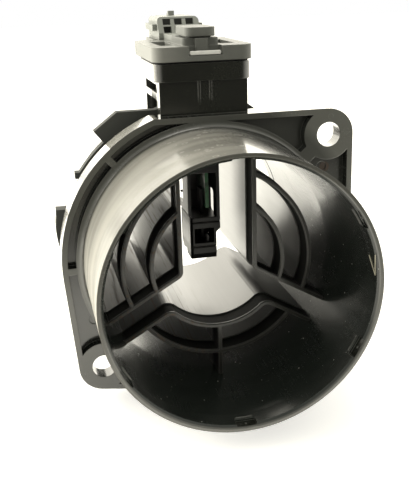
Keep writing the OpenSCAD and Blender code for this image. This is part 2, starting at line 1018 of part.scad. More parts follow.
// Profile of the connector seen from the side, with its sloping front
module shroud_side() {
    slope_len = 4;
    slope_top = shroud_front + slope_len;
    polygon([
        [shroud_front, plate_bottom],
        [shroud_front, tier_top],
        [slope_top, shroud_top],
        [shroud_back, shroud_top],
        [shroud_back, shroud_bottom],
        [plate_back, shroud_bottom]
    ]);
}

module connector() {
    rail_w = 1.6;
    rail_h = 2.2;
    corner = 1.6;
    core_w = 2.8;
    core_pitch = 4.2;
    core_rise = 2.1;
    core_step = 2.9;
    core_h = 2.3;
    core_wall = 0.5;
    socket_wall = 2;
    rail_inset = 2.5;
    rail_stop = 2;
    nub_w = 2.2;
    nub_h = 1.7;
    nub_front = 6.5;
    nub_top = 5;
    nub_back = 2;
    core_low = plate_top + core_rise;
    difference() {
        intersection() {
            side_slab(-shroud_w / 2, shroud_w / 2)
                shroud_side();
            slab(shroud_front - over, shroud_back + over)
                round_rect(
                    [-shroud_w / 2, shroud_bottom],
                    [shroud_w / 2, shroud_top],
                    corner
                );
        }
        slab(plate_back + socket_wall, shroud_back + over)
            round_rect(
                [-shroud_w / 2 + shroud_wall, shroud_bottom + shroud_wall],
                [shroud_w / 2 - shroud_wall, shroud_top - shroud_wall],
                corner
            );
        for (i = [-1 : 1])
            for (row = [0, 1])
                block(
                    [i * core_pitch - core_w / 2, shroud_front - over, core_low + row * core_step],
                    [i * core_pitch + core_w / 2, plate_back - core_wall, core_low + row * core_step + core_h]
                );
    }
    for (side = [-1, 1])
        for (z = [shroud_bottom + rail_inset, shroud_top - rail_inset - rail_h])
            block(
                [side * shroud_w / 2 - rail_w, plate_back, z],
                [side * shroud_w / 2 + rail_w, shroud_back - rail_stop, z + rail_h]
            );
    side_slab(-nub_w / 2, nub_w / 2)
        polygon([
            [shroud_back - nub_front, shroud_top],
            [shroud_back - nub_front, shroud_top + nub_h],
            [shroud_back - nub_top, shroud_top + nub_h],
            [shroud_back - nub_back, shroud_top]
        ]);
}

module sensor_body() {
    color([0.16, 0.16, 0.16])
        difference() {
            union() {
                plate();
                plug();
                finger();
                connector();
            }
            board_bay();
            pin_set();
        }
}

module bypass_cover() {
    left = -tip_w / 2 - tip_step;
    color([0.2, 0.2, 0.19])
        block(
            [left, finger_front + bypass_cover_front + nest, inlet_bottom - bypass_cover_lap + nest],
            [left + cover_t - nest, finger_back - bypass_cover_back - nest, inlet_top + bypass_cover_lap - nest]
        );
}

module board_cover() {
    color([0.2, 0.2, 0.19])
        block(
            [finger_w / 2 - cover_t, board_front - cover_rim + nest, bay_bottom - cover_rim + nest],
            [finger_w / 2, board_back + cover_rim - nest, module_floor - nest]
        );
}

module circuit_board() {
    color([0.1, 0.35, 0.16])
        block([board_x, board_front, board_bottom], [board_x + board_t, board_back, board_top]);
}

module signal_chip() {
    size = [1.2, 6, 6];
    rise = 8;
    color([0.08, 0.08, 0.09])
        translate([board_x + board_t, board_front + (board_w - size.y) / 2, bay_bottom + rise])
            cube(size);
}

module board_capacitors() {
    size = [0.9, 1.3, 2];
    rise = 3;
    first = 2;
    pitch = 4;
    color([0.55, 0.45, 0.33])
        for (i = [0 : 2])
            translate([board_x + board_t, board_front + first + i * pitch, bay_bottom + rise])
                cube(size);
}

module board_resistors() {
    size = [0.5, 0.9, 1.6];
    rise = 16.5;
    pitch = 2.5;
    edge = 1.4;
    color([0.1, 0.1, 0.1])
        for (y = [board_front + edge, board_back - edge - size.y])
            for (row = [0, 1])
                translate([board_x + board_t, y, bay_bottom + rise + row * pitch])
                    cube(size);
}

// Tongue that stands on the board and reaches down into the bypass
module chip_carrier() {
    color([0.18, 0.18, 0.2])
        difference() {
            block(
                [carrier_x, carrier_front, carrier_bottom],
                [board_x, carrier_front + carrier_w, carrier_top]
            );
            block(
                [
                    carrier_x - over,
                    carrier_front + (carrier_w - chip_side) / 2 - nest,
                    carrier_bottom + chip_rise - nest
                ],
                [
                    carrier_x + chip_t,
                    carrier_front + (carrier_w + chip_side) / 2 + nest,
                    carrier_bottom + chip_rise + chip_side + nest
                ]
            );
        }
}

module sensing_chip() {
    color([0.55, 0.6, 0.68])
        translate([carrier_x, carrier_front + (carrier_w - chip_side) / 2, carrier_bottom + chip_rise])
            cube([chip_t, chip_side, chip_side]);
}

module temperature_bead() {
    color([0.12, 0.1, 0.1])
        difference() {
            translate(bead_pos)
                sphere(d = bead_d);
            temperature_lead_pair();
        }
}

// Two leads that carry the bead from the board
module temperature_lead_pair() {
    for (dy = [-lead_gap / 2, lead_gap / 2])
        translate(bead_pos + [0, dy, 0])
            rotate([0, 90, 0])
                cylinder(d = lead_d, h = board_x - bead_pos.x);
}

module temperature_leads() {
    color([0.75, 0.75, 0.74])
        temperature_lead_pair();
}

// One terminal pin: connector blade, step down, run under the tier, turn to the board
module terminal_pin(index) {
    half = pin_side / 2;
    x = (index - (pin_count - 1) / 2) * pin_pitch;
    turn_y = board_front + pin_turn_start + pin_turns[index] * pin_turn_step;
    foot_x = pin_side_x + half;
    low_x = min(x, foot_x);
    high_x = max(x, foot_x);
    step_y = plate_back - pin_step;
    block([x - half, step_y - half, pin_z - half], [x + half, pin_tip, pin_z + half]);
    block([x - half, step_y - half, pin_run_z - half], [x + half, step_y + half, pin_z + half]);
    block([x - half, turn_y - half, pin_run_z - half], [x + half, step_y + half, pin_run_z + half]);
    block([low_x - half, turn_y - half, pin_run_z - half], [high_x + half, turn_y + half, pin_run_z + half]);
    block(
        [foot_x - half, turn_y - half, board_top - pin_foot],
        [foot_x + half, turn_y + half, pin_run_z + half]
    );
}

module pin_set() {
    for (index = [0 : pin_count - 1])
        terminal_pin(index);
}

module terminal_pins() {
    color([0.8, 0.72, 0.42])
        pin_set();
}

// Cap over the contact chamber, with its round front corners on a narrower neck
module contact_cap() {
    neck_in = 1;
    neck_back = 1;
    corner = 2.8;
    color([0.2, 0.2, 0.19]) {
        translate([0, 0, tier_top])
            linear_extrude(neck_h)
                round_rect(
                    [-cap_w / 2 + neck_in, cap_front + neck_in + neck_back],
                    [cap_w / 2 - neck_in, cap_front + cap_len - neck_in],
                    corner - neck_in
                );
        translate([0, 0, cap_bottom])
            linear_extrude(cap_h)
                round_rect(
                    [-cap_w / 2, cap_front],
                    [cap_w / 2, cap_front + cap_len],
                    corner
                );
    }
}

module module_seal() {
    color([0.1, 0.1, 0.11])
        translate([0, 0, groove_z + seal_squeeze])
            linear_extrude(groove_h - 2 * seal_squeeze)
                difference() {
                    seal_plan(-slide);
                    seal_plan(groove_depth);
                }
}

module module_screws() {
    head_h = 2.4;
    socket_d = 3;
    socket_deep = 1.4;
    head_z = plate_bottom + pocket_floor;
    color([0.75, 0.75, 0.76])
        for (side = [-1, 1])
            translate([side * screw_x, screw_y, 0])
                difference() {
                    union() {
                        translate([0, 0, head_z])
                            cylinder(d = screw_head_d, h = head_h);
                        translate([0, 0, head_z - screw_len])
                            cylinder(d = screw_d, h = screw_len);
                    }
                    translate([0, 0, head_z + head_h - socket_deep])
                        cylinder(d = socket_d, h = socket_deep + over, $fn = 6);
                }
}

tube_housing();
flow_guide();
sensor_body();
bypass_cover();
board_cover();
circuit_board();
signal_chip();
board_capacitors();
board_resistors();
chip_carrier();
sensing_chip();
temperature_bead();
temperature_leads();
terminal_pins();
contact_cap();
module_seal();
module_screws();
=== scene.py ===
"""Looks of a duct air meter: its moulded plastics, board and metal parts, lit on a white floor.

Blender holds the part in metres in the row frame: origin at the centre of the inlet rim, +Y
along the duct away from the inlet, +Z up through the sensor tower. Sizes and places here are in
millimetres, apart from those of the camera, the lamps and the floor, which are in metres.
"""
import math

import bpy
import numpy as np
from mathutils import Matrix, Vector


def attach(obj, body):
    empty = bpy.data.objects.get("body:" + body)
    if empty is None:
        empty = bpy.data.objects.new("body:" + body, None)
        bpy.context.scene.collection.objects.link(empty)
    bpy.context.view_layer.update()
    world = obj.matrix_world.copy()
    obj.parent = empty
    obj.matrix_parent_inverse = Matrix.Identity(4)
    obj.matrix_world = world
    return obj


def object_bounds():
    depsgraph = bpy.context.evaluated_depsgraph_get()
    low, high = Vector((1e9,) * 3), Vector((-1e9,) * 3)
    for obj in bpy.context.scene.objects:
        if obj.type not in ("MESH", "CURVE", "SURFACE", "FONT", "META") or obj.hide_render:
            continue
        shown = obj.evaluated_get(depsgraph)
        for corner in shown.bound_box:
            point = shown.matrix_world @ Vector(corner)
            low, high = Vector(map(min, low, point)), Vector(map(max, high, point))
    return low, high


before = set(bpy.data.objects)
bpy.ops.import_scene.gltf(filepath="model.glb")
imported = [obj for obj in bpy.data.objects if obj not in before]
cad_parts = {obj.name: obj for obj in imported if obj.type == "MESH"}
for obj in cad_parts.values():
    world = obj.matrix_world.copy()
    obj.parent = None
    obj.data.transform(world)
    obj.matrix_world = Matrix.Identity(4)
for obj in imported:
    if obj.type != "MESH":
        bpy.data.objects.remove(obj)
cad_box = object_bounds()
scene = bpy.context.scene
MM = 0.001

# Radii from the duct's axis: housing's bore, inlet spigot outside, flange's round part
BORE = 41.0
SPIGOT = 43.0
FLANGE = 50.0
# Places along the duct
GUIDE_FRONT = 32.6
NOSE_BACK = 40.0
FLANGE_FRONT = 42.5
POCKET_FLOOR = 46.0
FLANGE_BACK = 52.3
COLLAR_BACK = 61.5
FINGER_FRONT = 52.0
# The tower's socket, which the module's plate covers
SOCKET_SIDE = 16.0
SOCKET_FRONT = 45.6
SOCKET_BACK = 79.1
SOCKET_CORNER = 4.0
SOCKET_TOP = 63.3
# The module: heights of its plate above the axis, half width of its finger
PLATE_BOTTOM = 63.9
PLATE_TOP = 68.5
FINGER_SIDE = 5.6

# Colours of the painted edge highlight, of dust with a painted sheen, and of the light
EDGE_HIGHLIGHT = (0.14, 0.14, 0.125)
DUST_SHEEN_DARK = (0.08, 0.078, 0.066)
DUST_SHEEN_PALE = (0.14, 0.136, 0.115)
WHITE = (1, 1, 1)
CREAM = (1, 0.975, 0.88)
WARM = (1, 0.95, 0.82)


class Value:
    """A shader socket; + - * / and ** on it add Math nodes to its material."""

    def __init__(self, finish, out):
        self.finish = finish
        self.out = out

    def math(self, operation, *terms):
        """A Math node on these terms, each a value or a number."""
        return self.finish.node("Math", {"operation": operation}, dict(enumerate(terms)))

    def __add__(self, other):
        return self.math("ADD", self, other)

    def __sub__(self, other):
        return self.math("SUBTRACT", self, other)

    def __rsub__(self, other):
        return self.math("SUBTRACT", other, self)

    def __mul__(self, other):
        return self.math("MULTIPLY", self, other)

    def __truediv__(self, other):
        return self.math("DIVIDE", self, other)

    def __pow__(self, other):
        return self.math("POWER", self, other)

    __radd__ = __add__
    __rmul__ = __mul__

    def above(self, edge, width):
        """0 below edge, 1 above edge + width, a straight ramp between."""
        return self.finish.node(
            "MapRange", {"clamp": True}, {0: self, 1: edge, 2: edge + width, 3: 0.0, 4: 1.0})

    def below(self, edge, width):
        """1 below edge, 0 above edge + width, a straight ramp between."""
        return 1 - self.above(edge, width)

    def between(self, low, high, width):
        """1 from low + width to high, 0 below low and above high + width, straight ramps between."""
        return self.above(low, width) * self.below(high, width)


class Finish:
    """A material, or the world, and the one way to add nodes to it."""

    def __init__(self, name, data=None):
        self.data = data or bpy.data.materials.new(name)
        self.data.use_nodes = True
        self.tree = self.data.node_tree
        self.tree.nodes.clear()

    def node(self, kind, settings=None, inputs=None, out=0):
        """Adds a node of that kind, sets its settings first, then its inputs, and gives an output."""
        made = self.tree.nodes.new("ShaderNode" + kind)
        for key, value in (settings or {}).items():
            setattr(made, key, value)
        for key, value in (inputs or {}).items():
            socket = made.inputs[key]
            if isinstance(value, Value):
                self.tree.links.new(value.out, socket)
            elif socket.type == "RGBA" and len(value) == 3:
                socket.default_value = (*value, 1)
            else:
                socket.default_value = value
        return Value(self, made.outputs[out]) if made.outputs else None

    def millimetres(self, stretch=(1, 1, 1)):
        """Object coordinates in millimetres, squeezed or stretched along the axes."""
        place = self.node("TexCoord", out="Object")
        scale = tuple(s / MM for s in stretch)
        return self.node("VectorMath", {"operation": "MULTIPLY"}, {0: place, 1: scale})

    def axes(self, place):
        """The three parts of a vector."""
        split = self.node("SeparateXYZ", None, {0: place})
        return [Value(self, out) for out in split.out.node.outputs]

    def noise(self, place, cells, detail=2.0, rough=0.5):
        """Soft noise from 0 to 1 with that many cells a millimetre."""
        return self.node("TexNoise", None, {
            "Vector": place, "Scale": cells, "Detail": detail, "Roughness": rough})

    def mix(self, factor, a, b):
        """Colour a at factor 0, colour b at factor 1."""
        return self.node("Mix", {"data_type": "RGBA"}, {0: factor, 6: a, 7: b}, out=2)

    def painted(self, colour, *layers):
        """The colour with each layer's tone laid over it in turn, as far as the layer's mask says."""
        for mask, tone in layers:
            colour = self.mix(mask, colour, tone)
        return colour

    def rounded(self, radius, samples):
        """The surface's normal, as if its edges were rounded to a radius in millimetres."""
        return self.node("Bevel", {"samples": samples}, {"Radius": radius * MM})

    def bump(self, height, depth, under=None):
        """A normal that tilts as if the surface rose by depth in millimetres where height is 1."""
        inputs = {"Strength": 1.0, "Distance": depth * MM, "Height": height}
        if under:
            inputs["Normal"] = under
        return self.node("Bump", None, inputs)

    def surface(self, shader):
        """Ends the material with its shader."""
        self.node("OutputMaterial", None, {0: shader})
        return self.data


def tint(colour, gain):
    """The colour made lighter or darker."""
    return tuple(min(1.0, c * gain) for c in colour)


def moulded(name, tone, rough=0.32, coat=1.0, haze=0.2, grain=0.005, wave=0.008, edge=0.45,
            flow=0.03, marks=None):
    """Moulded plastic: fine grain, slow gloss waves, faint flow lines, round edges with painted highlight.

    The bump is noise of 0.25 mm cells times grain plus noise of 6 mm cells times wave. The mask of
    the painted edge highlight is 1 minus the dot of the rounded and the true normal, so it is bright
    along edges only. marks takes the finish, the place in millimetres, the colour, the roughness and
    the coat, and gives back the last three with what is special to the piece, and where fine dust
    with a painted sheen lies.
    """
    f = Finish(name)
    place = f.millimetres()
    fine = f.noise(place, 4.0, detail=3)
    slow = f.noise(place, 0.16)
    lines = f.noise(f.millimetres((1.3, 0.03, 1.3)), 1.0)
    blotch = f.noise(place, 0.07, detail=4, rough=0.6)
    rounded = f.rounded(edge, samples=8)
    true_normal = f.node("NewGeometry", out="Normal")
    dot = f.node("VectorMath", {"operation": "DOT_PRODUCT"}, {0: rounded, 1: true_normal}, out="Value")
    # Painted edge highlight: this mask mixes the edges' colour towards a pale grey.
    edge_highlight = (1 - dot).above(0.08, 0.15)
    colour = f.mix(blotch.above(0.35, 0.3), tint(tone, 0.8), tint(tone, 1.2))
    gloss = rough + (lines - 0.5) * flow + (fine - 0.5) * 0.06 + (blotch - 0.5) * 0.08
    dust_sheen_mask = None
    if marks:
        colour, gloss, coat, dust_sheen_mask = marks(f, place, colour, gloss, coat)
    waved = f.bump(slow, wave, rounded)
    shader = f.node("BsdfPrincipled", None, {
        "Base Color": f.mix(edge_highlight * 0.6, colour, EDGE_HIGHLIGHT), "Roughness": gloss,
        "Normal": f.bump(fine, grain, waved), "Coat Weight": coat, "Coat Roughness": haze, "IOR": 1.5})
    if dust_sheen_mask:
        # Dust with a painted sheen: a paler layer with a sheen lobe, mixed in by the mask.
        dust = f.node("BsdfPrincipled", None, {
            "Base Color": f.mix(blotch, DUST_SHEEN_DARK, DUST_SHEEN_PALE), "Roughness": 0.5 + (fine - 0.5) * 0.1,
            "Normal": waved, "Sheen Weight": 1.0, "Sheen Roughness": 0.35,
            "Sheen Tint": (1.0, 0.97, 0.88)})
        shader = f.node("MixShader", None, {0: dust_sheen_mask, 1: shader, 2: dust})
    return f.surface(shader)


def housing_marks(f, place, colour, gloss, coat):
    """What is special to the housing: painted light and shade, green-grey bore, matt grey collar.

    The bore has a thin coat, dust specks and faint scratches, and is painted lighter than the
    outside as painted fill light. The rim's front face is painted lighter, a painted highlight.
    Dust with a painted sheen lies in bands on the inlet spigot's upper left, with rings of dried
    water spots on its top. The flange's upper left edge is painted near white, a painted glare.
    The flange's pockets are painted dark as painted shade, darkest on the left, and its front is
    painted paler upwards and on the right lobe as painted light. The recess of one ejector pin is
    rusty brown.
    """
    x, y, z = f.axes(place)
    radius = (x * x + z * z) ** 0.5
    bore = radius.below(BORE + 0.5, 0.2)
    # The rim's front face, painted lighter: a painted highlight.
    rim = y.below(0.2, 0.3)
    spigot = radius.above(SPIGOT - 0.4, 0.2) * y.below(FLANGE_FRONT - 4.5, 5)
    outside = radius.above(SPIGOT + 0.5, 0.5)
    # The flange's front is painted paler upwards and paler still on the right lobe: painted light.
    front = outside * y.below(FLANGE_FRONT + 0.1, 0.05)
    lobe = front * radius.above(FLANGE, 4) * x.above(0, 20)
    # The flange's pockets are painted dark, darkest on the left: painted shade.
    pocket_shade = outside * y.below(POCKET_FLOOR + 0.2, 0.2) * z.below(55, 1)
    edge = radius.above(FLANGE - 0.6, 0.3) * y.between(FLANGE_FRONT + 0.4, FLANGE_BACK - 0.1, 0.2)
    along_collar = y.above(FLANGE_BACK + 0.1, 0.2) * y.below(COLLAR_BACK + 0.5, 1)
    collar = radius.above(SPIGOT + 0.9, 0.2) * along_collar * z.below(52, 3)

    grit = f.node("TexVoronoi", None, {"Vector": place, "Scale": 0.42})
    speck = grit.below(0.06, 0.06) * f.noise(place, 0.9, detail=1).above(0.58, 0.03) * bore
    scratch = f.noise(f.millimetres((0.05, 1.4, 0.3)), 1.0, detail=1).above(0.76, 0.03) * bore
    bands = f.noise(f.millimetres((0.02, 0.16, 0.02)), 1.0, detail=1).above(0.35, 0.35)
    # Dust with a painted sheen, on the spigot's upper left, the side the light falls on.
    spigot_dust_and_sheen = spigot * (z * 0.3 - x * 1.2).above(-2, 40) * (0.65 + bands * 0.35)
    # The flange's upper left edge is painted near white: a painted glare.
    painted_edge_glare = edge * (z * 0.8 - x).above(34, 8) * x.below(-SOCKET_SIDE, 1)
    spots = f.node("TexVoronoi", None, {"Vector": place, "Scale": 0.3})
    few = f.noise(place, 0.12, detail=1).above(0.56, 0.03)
    ring = spots.between(0.2, 0.28, 0.06) * few * spigot * z.above(39, 3)
    ejector_x = 41.3
    ejector_z = 26.4
    dx = x - ejector_x
    dy = y - POCKET_FLOOR
    dz = z - ejector_z
    rust = ((dx * dx + dy * dy + dz * dz) ** 0.5).below(1.5, 0.5)

    colour = f.painted(
        colour,
        # The bore is painted a lighter green-grey than the outside: painted fill light.
        (bore, (0.017, 0.021, 0.018)),
        (rim, (0.08, 0.08, 0.07)),
        (pocket_shade * 0.8, f.mix(x.above(-10, 20), (0.008, 0.009, 0.007), (0.045, 0.047, 0.041))),
        (front, f.mix(z.above(-40, 30), (0.025, 0.026, 0.023), (0.06, 0.062, 0.054))),
        (lobe, (0.12, 0.122, 0.108)),
        (collar, (0.045, 0.047, 0.042)),
        (painted_edge_glare * 0.8, (0.42, 0.41, 0.37)),
        (speck * 0.8, (0.5, 0.49, 0.44)),
        (ring * 0.4, (0.4, 0.4, 0.36)),
        (rust * 0.8, (0.06, 0.035, 0.02)))
    gloss = gloss + speck * 0.2 + scratch * 0.02 + collar * 0.5 + ring * 0.15
    return colour, gloss, coat - collar - bore * 0.7, spigot_dust_and_sheen


def guide_marks(f, place, colour, gloss, coat):
    """The thin leading part is matt black behind its round edge, and old stains streak the left.

    The lower channels' outer part is duller than the rest.
    """
    x, y, z = f.axes(place)
    nose = y.above(GUIDE_FRONT + 0.8, 0.1) * y.below(NOSE_BACK - 0.04, 0.04)
    behind = 1 - nose
    streak = f.noise(f.millimetres((0.9, 0.025, 0.9)), 1.0, detail=3, rough=0.7).above(0.53, 0.1)
    stain = streak * x.below(-8, 6) * behind
    outer = ((x * x + z * z) ** 0.5).above(21, 4) * z.below(-6, 4) * behind
    colour = f.painted(colour, (nose, (0.004, 0.0045, 0.003)), (stain * 0.9, (0.07, 0.045, 0.025)))
    gloss = gloss + nose * 0.4 + stain * 0.12 + outer * 0.1
    return colour, gloss, (coat - nose - outer * 0.6) * (1 - stain * 0.7), None


def module_marks(f, place, colour, gloss, coat):
    """The plate and the connector are painted pale, most at the left, a painted glare mottled by dust;
    the finger is black.

    Only the finger's left side and, less, the pale top have a coat. The finger's chamber is painted
    dark grey, lighter than the finger, as painted light, and the floors of the connector's cored
    pockets are painted dark grey as painted shade.
    """
    x, y, z = f.axes(place)
    # The top, its left end most, and the connector are painted pale: painted glare.
    pale = z.above(61, 1)
    glare = pale * x.below(-SOCKET_SIDE, 12) * 0.6
    connector = z.above(PLATE_TOP + 0.5, 0.5) * y.above(66, 4)
    # The floors of the connector's cored pockets are painted darker: painted shade.
    pockets = x.between(-5.6, 5.5, 0.1) * y.between(86.6, 86.8, 0.05) * z.between(70.6, 75.6, 0.1)
    side = x.below(0.3 - FINGER_SIDE, 0.1) * z.below(50, 1)
    inside = x.between(0.7 - FINGER_SIDE, FINGER_SIDE - 0.7, 0.1) * y.above(FINGER_FRONT + 0.7, 0.1)
    # The chamber is painted dark grey, lighter than the finger: painted light.
    chamber = inside * z.between(9, 27, 0.2)
    dust = f.noise(place, 0.5, detail=4, rough=0.65)
    colour = f.painted(
        colour,
        (chamber, (0.03, 0.03, 0.026)),
        (pale * (0.75 + dust * 0.3), (0.125, 0.13, 0.115)),
        (glare, (0.3, 0.3, 0.27)),
        (connector, (0.22, 0.23, 0.205)),
        (pockets, (0.02, 0.021, 0.018)))
    gloss = gloss + pale * ((dust - 0.5) * 0.2 + 0.2)
    return colour, gloss, coat * (pale * 0.2 + side * 0.35), None


def board_laminate():
    """Green solder mask over a woven laminate: weave bump, copper tracks as faint lines."""
    f = Finish("board_laminate")
    place = f.millimetres()
    weave = f.node("TexWave", {"wave_type": "BANDS", "bands_direction": "Z"}, {"Vector": place, "Scale": 1.2})
    tracks = f.node("TexWave", {"wave_type": "BANDS", "bands_direction": "Y"},
                    {"Vector": place, "Scale": 0.32, "Distortion": 2.0}).above(0.78, 0.06)
    shader = f.node("BsdfPrincipled", None, {
        "Base Color": f.mix(tracks, (0.006, 0.05, 0.016), (0.02, 0.12, 0.04)),
        "Roughness": 0.28 + (weave - 0.5) * 0.05, "Normal": f.bump(tracks + weave * 0.2, 0.02),
        "Coat Weight": 0.4})
    return f.surface(shader)


def plain_part(name, tone, rough, metal=0.0, cells=3.0, drawn=(1, 1, 1), edge=0.08, grain=0.004):
    """Small resin, ceramic or metal part: fine grain, uneven gloss and tone.

    drawn gives the grain's squeeze along each axis, so a number under 1 draws it out there.
    """
    f = Finish(name)
    place = f.millimetres(drawn)
    fine = f.noise(place, cells, detail=3)
    slow = f.noise(place, cells / 8, detail=3)
    shader = f.node("BsdfPrincipled", None, {
        "Base Color": f.mix(slow.above(0.3, 0.4), tint(tone, 0.8), tint(tone, 1.15)),
        "Roughness": rough + (fine - 0.5) * 0.15, "Metallic": metal,
        "Normal": f.bump(fine, grain, f.rounded(edge, samples=4))})
    return f.surface(shader)


def drawn_metal(name, tone, rough, drawn):
    """Metal whose fine grain is drawn out along one axis."""
    return plain_part(name, tone, rough, metal=1.0, cells=6.0, drawn=drawn)


finishes = {
    "tube_housing": moulded("housing_plastic", (0.0125, 0.0138, 0.0095), rough=0.26, haze=0.12,
                            marks=housing_marks),
    "flow_guide": moulded("guide_plastic", (0.0105, 0.011, 0.0075), rough=0.4, haze=0.3, edge=0.3,
                          flow=0.09, marks=guide_marks),
    "sensor_body": moulded("module_plastic", (0.0012, 0.0013, 0.001), rough=0.4, marks=module_marks),
    "bypass_cover": moulded("cover_plastic", (0.02, 0.02, 0.016), rough=0.42, coat=0.3, edge=0.2),
    "contact_cap": moulded("cap_plastic", (0.125, 0.13, 0.115), rough=0.55, coat=0.1, edge=0.6),
    "circuit_board": board_laminate(),
    "signal_chip": plain_part("chip_resin", (0.02, 0.02, 0.022), 0.5),
    "board_capacitors": plain_part("capacitor_ceramic", (0.45, 0.36, 0.25), 0.35),
    "chip_carrier": plain_part("carrier_plastic", (0.003, 0.003, 0.003), 0.7),
    "sensing_chip": plain_part("chip_silicon", (0.1, 0.12, 0.15), 0.2, metal=0.6),
    "temperature_bead": plain_part("bead_resin", (0.03, 0.028, 0.028), 0.2),
    "temperature_leads": drawn_metal("lead_wire", (0.06, 0.06, 0.055), 0.5, (0.1, 1, 1)),
    "terminal_pins": drawn_metal("terminal_brass", (0.72, 0.6, 0.32), 0.3, (1, 0.1, 1)),
    "module_seal": plain_part("seal_rubber", (0.02, 0.02, 0.02), 0.6),
    "module_screws": drawn_metal("screw_steel", (0.55, 0.55, 0.56), 0.32, (1, 1, 0.1)),
}
finishes["board_cover"] = finishes["bypass_cover"]
finishes["board_resistors"] = finishes["signal_chip"]
for name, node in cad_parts.items():
    node.data.materials.clear()
    node.data.materials.append(finishes[name])


def new_object(name, data):
    """A new object in the scene, at the origin."""
    made = bpy.data.objects.new(name, data)
    scene.collection.objects.link(made)
    return made


def skin(name, grid, finish):
    """A smooth mesh over a grid of points in millimetres, rows by columns, riding on the body."""
    rows, columns = grid.shape[:2]
    index = np.arange(rows * columns).reshape(rows, columns)
    quads = np.stack([index[:-1, :-1], index[1:, :-1], index[1:, 1:], index[:-1, 1:]], -1).reshape(-1, 4)
    mesh = bpy.data.meshes.new(name)
    mesh.from_pydata((grid.reshape(-1, 3) * MM).tolist(), [], quads.tolist())
    mesh.shade_smooth()
    mesh.materials.append(finish)
    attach(new_object(name, mesh), "root")


def grid_of(*ranges):
    """Two parameters on a grid, each range given as first, last and number of steps."""
    return np.meshgrid(*[np.linspace(a, b, n + 1) for a, b, n in ranges], indexing="ij")


def on_duct(radius, along, angle):
    """Points at a radius from the duct's axis, at a place along it and an angle from straight down."""
    return np.stack([radius * np.sin(angle), along + 0 * angle, -radius * np.cos(angle)], -1)


def squarish(angle, power):
    """A superellipse's two parts: cosine and sine of the angle to that power, with their signs."""
    return [np.sign(v) * np.abs(v) ** power for v in (np.cos(angle), np.sin(angle))]


def sleeve_skin(front=7, lip=39, back=90, sleeve=39.78):
    """Smooth skin of the bore and sleeve: a cone down to the sleeve's lip, then a cylinder in the sleeve.

    radius(y) = max(sleeve, BORE - (BORE - sleeve) (y - front) / (lip - front)).
    """
    along = np.append(np.linspace(front, lip, 17), np.linspace(lip + 0.5, back, 12))
    y, angle = np.meshgrid(along, np.linspace(0, 2 * math.pi, 161), indexing="ij")
    radius = np.maximum(sleeve, BORE - (BORE - sleeve) * (y - front) / (lip - front))
    skin("sleeve_skin", on_duct(radius, y, angle), finishes["tube_housing"])


def catch_ridges(count=6, ridge_at=4.65, half=3.0, height=0.34, dome_at=2.2, dome_r=0.5, dome_h=0.35,
                 catch_floor=0.68):
    """A half-round ridge behind each rim catch, and a flattened ball half sunk in the catch's floor.

    Ridge: radius = BORE + w(s) cos a, y = ridge_at + w(s) sin a, with w(s) = height (1 - s^8)^0.5.
    Ball: radius = BORE + catch_floor + dome_h cos b, and dome_r sin b to the side of its middle.
    """
    finish = moulded("catch_plastic", (0.05, 0.052, 0.045), rough=0.25, edge=0.1)
    s, a = grid_of((-1, 1, 20), (0, 2 * math.pi, 12))
    w = height * np.sqrt(np.clip(1 - s ** 8, 0, 1))
    b, c = grid_of((0, math.pi, 8), (0, 2 * math.pi, 14))
    aside = dome_r * np.sin(b)
    for k in range(count):
        middle = k * 2 * math.pi / count
        ridge = on_duct(BORE + w * np.cos(a), ridge_at + w * np.sin(a), middle + s * half / BORE)
        skin(f"catch_ridge_{k}", ridge, finish)
        dome = on_duct(BORE + catch_floor + dome_h * np.cos(b), dome_at + aside * np.cos(c),
                       middle + aside * np.sin(c) / BORE)
        skin(f"catch_dome_{k}", dome, finish)


def rounded_loop(half, front, back, corner, count=24):
    """Outline of a rounded rectangle, seen from above, in order around it."""
    x, y = [], []
    for k, (cx, cy) in enumerate([(1, 1), (-1, 1), (-1, -1), (1, -1)]):
        a = np.linspace(k, k + 1, count // 4 + 1) * math.pi / 2
        x.append(cx * (half - corner) + corner * np.cos(a))
        y.append((front + back) / 2 + cy * ((back - front) / 2 - corner) + corner * np.sin(a))
    x, y = np.concatenate(x), np.concatenate(y)
    return np.append(x, x[0]), np.append(y, y[0])


def gap_shade_lip(inset=0.8, bulge=0.25, room=0.02):
    """Soft dark lip that fills the gap under the module's plate with painted shade, set in from the socket's
    outline.

    Its wall goes straight up from the outline and bulges outwards by bulge sin(pi t), where t
    goes from 0 at the socket to 1 at the plate.
    """
    half = SOCKET_SIDE - inset
    x, y = rounded_loop(half, SOCKET_FRONT + inset, SOCKET_BACK - inset, SOCKET_CORNER - inset)
    t = np.linspace(0, 1, 7)[:, None]
    grow = 1 + bulge * np.sin(math.pi * t) / half
    middle = (SOCKET_FRONT + SOCKET_BACK) / 2
    low = SOCKET_TOP + room
    high = PLATE_BOTTOM - room
    wall = np.stack([x * grow, middle + (y - middle) * grow, low + (high - low) * t + 0 * x], -1)
    skin("gap_shade_lip", wall, finishes["module_seal"])


def notch_highlight(left=-4.75, right=5.85, along=45.95, level=66.42, deep=0.5, half=0.62):
    """Pale strip in the module plate's notch, a painted highlight on its ledge: a bar with round ends.

    Its section is a superellipse times (1 - s^40)^0.5, where s goes from -1 to 1 along the bar.
    """
    s, a = grid_of((-1, 1, 24), (0, 2 * math.pi, 32))
    w = np.sqrt(np.clip(1 - s ** 40, 0, 1))
    up, back = squarish(a, 0.4)
    x = (left + right) / 2 + s * (right - left) / 2
    skin("notch_highlight", np.stack([x, along + deep * w * back, level + half * w * up], -1),
         plain_part("painted_ledge_light", (0.72, 0.72, 0.68), 0.5, cells=1.5))


